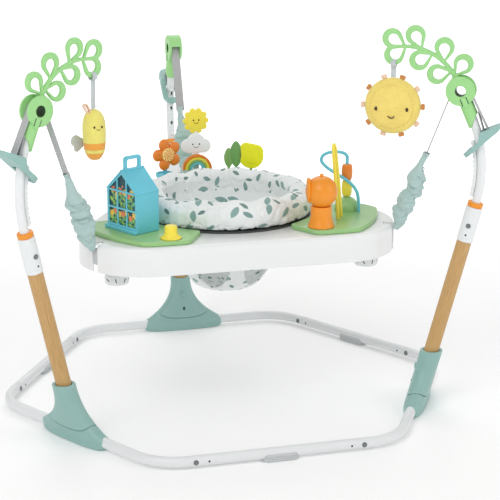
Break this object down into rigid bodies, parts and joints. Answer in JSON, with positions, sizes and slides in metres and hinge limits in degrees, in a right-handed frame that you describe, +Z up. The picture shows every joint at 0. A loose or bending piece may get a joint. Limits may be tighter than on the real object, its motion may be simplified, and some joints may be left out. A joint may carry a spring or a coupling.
{
  "type": "baby jumper",
  "caption": "Free-standing baby jumper: a spinning padded seat in a toy tray, hung by sprung straps from leaning posts on a tube base.",
  "frame": {"origin": "on the floor, under the axis that the seat turns on", "axes": "+Z up, the long flat front of the tray towards -Y, +X to the right of someone facing the front"},
  "size_m": [1.0538, 1.057, 0.8363],
  "materials": {
    "white_tube": "gloss powder coat",
    "white_plastic": "gloss",
    "grey_rubber": "matt",
    "steel": "satin",
    "mint_plastic": "satin",
    "wood_tube": "clear satin",
    "orange_plastic": "gloss",
    "green_plastic": "satin",
    "grey_webbing": "woven",
    "grey_plastic": "satin",
    "mint_cloth": "woven",
    "blue_plastic": "gloss",
    "picture_card": "printed",
    "yellow_plastic": "gloss",
    "leaf_cloth": "printed cotton",
    "yellow_plush": "plush",
    "grey_felt": "felt",
    "orange_felt": "felt"
  },
  "bodies": {
    "frame": {"base_bend_left": "white_tube", "base_bend_right": "white_tube", "base_bend_back": "white_tube", "base_bars": "white_tube", "base_pads": "grey_rubber", "snap_buttons": "steel", "foot_left": "mint_plastic", "foot_right": "mint_plastic", "foot_back": "mint_plastic", "foot_sockets": "mint_plastic", "foot_screws": "steel", "post_left": "wood_tube", "post_right": "wood_tube", "post_back": "wood_tube", "post_collars": "white_plastic", "post_rings": "orange_plastic", "risers": "white_tube", "height_racks": "white_plastic", "head_left": "green_plastic", "head_right": "green_plastic", "head_back": "green_plastic", "branch_left": "green_plastic", "branch_right": "green_plastic", "strap_wraps": "grey_webbing", "strap_drops": "grey_webbing", "strap_tails": "grey_webbing"},
    "adjuster_left": {"adjuster_left": "mint_plastic"},
    "adjuster_right": {"adjuster_right": "mint_plastic"},
    "adjuster_back": {"adjuster_back": "mint_plastic"},
    "hangers": {"cover_left": "mint_cloth", "cover_right": "mint_cloth", "cover_back": "mint_cloth", "springs": "steel"},
    "tray": {"tray": "white_plastic", "tray_sockets": "white_plastic", "strap_clips": "grey_plastic", "toy_mats": "green_plastic", "house": "blue_plastic", "house_picture": "picture_card", "rainbow": "orange_plastic", "wire_blue": "blue_plastic", "wire_yellow": "yellow_plastic", "flower_pot": "blue_plastic", "spinner_base": "orange_plastic"},
    "seat": {"seat_ring": "white_plastic", "seat_pad": "leaf_cloth", "seat_pouch": "leaf_cloth"},
    "flower": {"flower": "orange_plastic"},
    "push_button": {"push_button": "yellow_plastic"},
    "cloud_sun": {"cloud_sun": "white_plastic"},
    "tulip": {"tulip": "yellow_plastic"},
    "spinner": {"spinner": "orange_plastic"},
    "bead_orange": {"bead_orange": "orange_plastic"},
    "bead_yellow": {"bead_yellow": "yellow_plastic"},
    "bee": {"bee_body": "yellow_plush", "bee_wings": "grey_felt", "bee_ribbon": "grey_webbing"},
    "plush_sun": {"sun_body": "yellow_plush", "sun_rays": "orange_felt", "sun_ribbon": "grey_webbing"}
  },
  "joints": [
    {"name": "height", "type": "slide", "parent": "frame", "child": "hangers", "axis": [0, 0, 1], "range_m": [0, 0.08], "deforming": ["strap_drops", "strap_tails"]},
    {"name": "adjuster_left_slide", "type": "slide", "parent": "frame", "child": "adjuster_left", "axis": [-0.0551, -0.0318, -0.998], "range_m": [0, 0.08]},
    {"name": "adjuster_right_slide", "type": "slide", "parent": "frame", "child": "adjuster_right", "axis": [0.0551, -0.0318, -0.998], "range_m": [0, 0.08]},
    {"name": "adjuster_back_slide", "type": "slide", "parent": "frame", "child": "adjuster_back", "axis": [0, 0.0637, -0.998], "range_m": [0, 0.08]},
    {"name": "bounce", "type": "slide", "parent": "hangers", "child": "tray", "axis": [0, 0, 1], "range_m": [-0.06, 0.04], "stiffness_N_per_m": 2500, "springref_m": 0.02039, "deforming": ["cover_left", "cover_right", "cover_back", "springs"]},
    {"name": "seat_spin", "type": "hinge", "parent": "tray", "child": "seat", "pos_m": [0, 0, 0.408], "axis": [0, 0, 1], "continuous": true},
    {"name": "flower_spin", "type": "hinge", "parent": "tray", "child": "flower", "pos_m": [-0.08158, 0.25108, 0.494], "axis": [0.309, -0.9511, 0], "continuous": true},
    {"name": "button_press", "type": "slide", "parent": "tray", "child": "push_button", "axis": [0, 0, -1], "range_m": [0, 0.005], "stiffness_N_per_m": 600},
    {"name": "cloud_rock", "type": "hinge", "parent": "tray", "child": "cloud_sun", "pos_m": [0, 0.27, 0.433], "axis": [0, 1, 0], "range_deg": [-18, 18], "stiffness_Nm_per_rad": 0.3},
    {"name": "tulip_flip", "type": "hinge", "parent": "tray", "child": "tulip", "pos_m": [0.12112, 0.2278, 0.444], "axis": [-0.8829, 0.4695, 0], "range_deg": [-35, 35], "stiffness_Nm_per_rad": 0.15},
    {"name": "spinner_turn", "type": "hinge", "parent": "tray", "child": "spinner", "pos_m": [0.15459, -0.21277, 0.464], "axis": [0, 0, 1], "continuous": true},
    {"name": "bead_orange_lift", "type": "slide", "parent": "tray", "child": "bead_orange", "axis": [0, 0, 1], "range_m": [0, 0.01]},
    {"name": "bead_yellow_turn", "type": "hinge", "parent": "tray", "child": "bead_yellow", "pos_m": [0.25488, -0.08282, 0.458], "axis": [0, 0, 1], "continuous": true},
    {"name": "bee_swing", "type": "hinge", "parent": "frame", "child": "bee", "pos_m": [-0.31962, -0.18454, 0.7547], "axis": [-0.866, -0.5, 0], "range_deg": [-35, 35]},
    {"name": "sun_swing", "type": "hinge", "parent": "frame", "child": "plush_sun", "pos_m": [0.31962, -0.18454, 0.7547], "axis": [0.866, -0.5, 0], "range_deg": [-35, 35]}
  ],
  "couplings": [
    {"joint": "adjuster_left_slide", "follows": "height", "ratio": 1},
    {"joint": "adjuster_right_slide", "follows": "height", "ratio": 1},
    {"joint": "adjuster_back_slide", "follows": "height", "ratio": 1}
  ]
}
